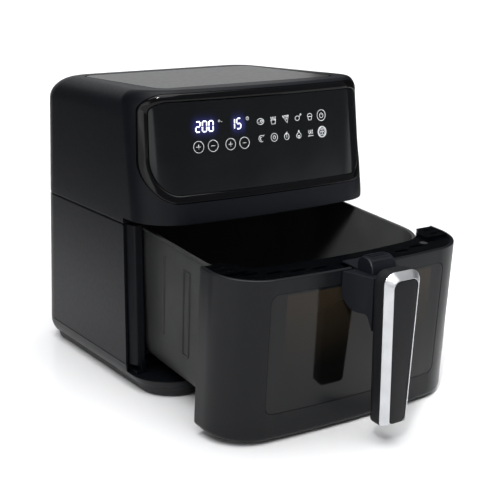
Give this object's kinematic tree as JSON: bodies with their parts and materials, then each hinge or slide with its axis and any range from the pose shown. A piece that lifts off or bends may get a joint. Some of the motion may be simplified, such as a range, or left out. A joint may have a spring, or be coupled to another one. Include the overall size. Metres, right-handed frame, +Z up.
{
  "type": "air fryer",
  "caption": "Countertop air fryer with leaning touch panel and a windowed pull-out drawer with pan, crisper tray and upright handle; drawer shown open.",
  "frame": {"origin": "on the table, under the middle of the whole part as drawn with its drawer open", "axes": "+Z up; -Y is the front, the way the drawer pulls out; +X is on the right of someone facing the front"},
  "size_m": [0.272, 0.4698, 0.3],
  "materials": {
    "matt_black": "fine satin texture",
    "side_black": "fine satin texture",
    "gloss_black": "high gloss",
    "touch_glass": "smoked touch panel",
    "pan_coat": "non-stick coating",
    "silver": "satin silver",
    "steel": "plain sheet",
    "element": "heat-darkened sheath",
    "grey_plastic": "natural nylon",
    "rubber": "soft",
    "smoked_glass": "tinted",
    "board": "solder mask",
    "motor": "wound core"
  },
  "bodies": {
    "housing": {"upper_housing": "matt_black", "hood_underside": "matt_black", "top_cover": "matt_black", "panel_bezel": "gloss_black", "control_panel": "touch_glass", "display_board": "board", "rear_vent_grille": "matt_black", "lower_housing": "side_black", "front_frame": "matt_black", "base_tray": "side_black", "heat_shield": "steel", "cord_gland": "rubber", "liner_wall": "steel", "liner_roof": "steel", "liner_floor": "steel", "heater_shroud": "steel", "heater_guard": "steel", "heating_element": "element", "upper_chassis": "steel", "motor_bracket": "steel", "fan_motor": "motor", "power_board": "board", "temperature_sensor": "steel", "thermal_fuse": "grey_plastic", "reed_switch": "grey_plastic", "glide_pad_left": "grey_plastic", "glide_pad_right": "grey_plastic", "roller_axle_left": "steel", "roller_axle_right": "steel", "foot_front_left": "rubber", "foot_front_right": "rubber", "foot_rear_left": "rubber", "foot_rear_right": "rubber"},
    "rotor": {"motor_shaft": "steel", "hot_air_fan": "steel", "cooling_fan": "grey_plastic"},
    "rollers": {"glide_roller_left": "grey_plastic", "glide_roller_right": "grey_plastic"},
    "drawer": {"drawer_front": "matt_black", "drawer_trim": "matt_black", "window_glass": "smoked_glass", "window_seal": "rubber", "pan": "pan_coat", "pan_window": "smoked_glass", "handle_bracket": "matt_black", "handle_grip": "matt_black", "handle_trim": "silver", "handle_insert": "matt_black", "button_spring": "steel", "drawer_magnet": "steel", "bracket_screw_left": "matt_black", "bracket_screw_right": "matt_black"},
    "button": {"release_button": "matt_black"},
    "tray": {"crisper_tray": "pan_coat", "tray_bumper_front_left": "rubber", "tray_bumper_front_right": "rubber", "tray_bumper_rear_left": "rubber", "tray_bumper_rear_right": "rubber"}
  },
  "joints": [
    {"name": "fan_spin", "type": "hinge", "parent": "housing", "child": "rotor", "pos_m": [0, 0.12593, 0], "axis": [0, 0, 1], "continuous": true},
    {"name": "drawer_tilt", "type": "hinge", "parent": "housing", "child": "rollers", "pos_m": [0, 0.04593, 0.02], "axis": [1, 0, 0], "range_deg": [-4.51, 0]},
    {"name": "drawer_slide", "type": "slide", "parent": "rollers", "child": "drawer", "axis": [0, -0.9969, -0.0785], "range_m": [-0.131, 0]},
    {"name": "button_press", "type": "slide", "parent": "drawer", "child": "button", "axis": [0, 0.0785, -0.9969], "range_m": [0, 0.003], "stiffness_N_per_m": 600, "springref_m": -0.002, "deforming": ["button_spring"]},
    {"name": "tray_lift", "type": "slide", "parent": "drawer", "child": "tray", "axis": [0, -0.0785, 0.9969], "range_m": [0, 0.1]}
  ],
  "couplings": [
    {"joint": "drawer_tilt", "follows": "drawer_slide", "rad_per_m": 0.6}
  ]
}
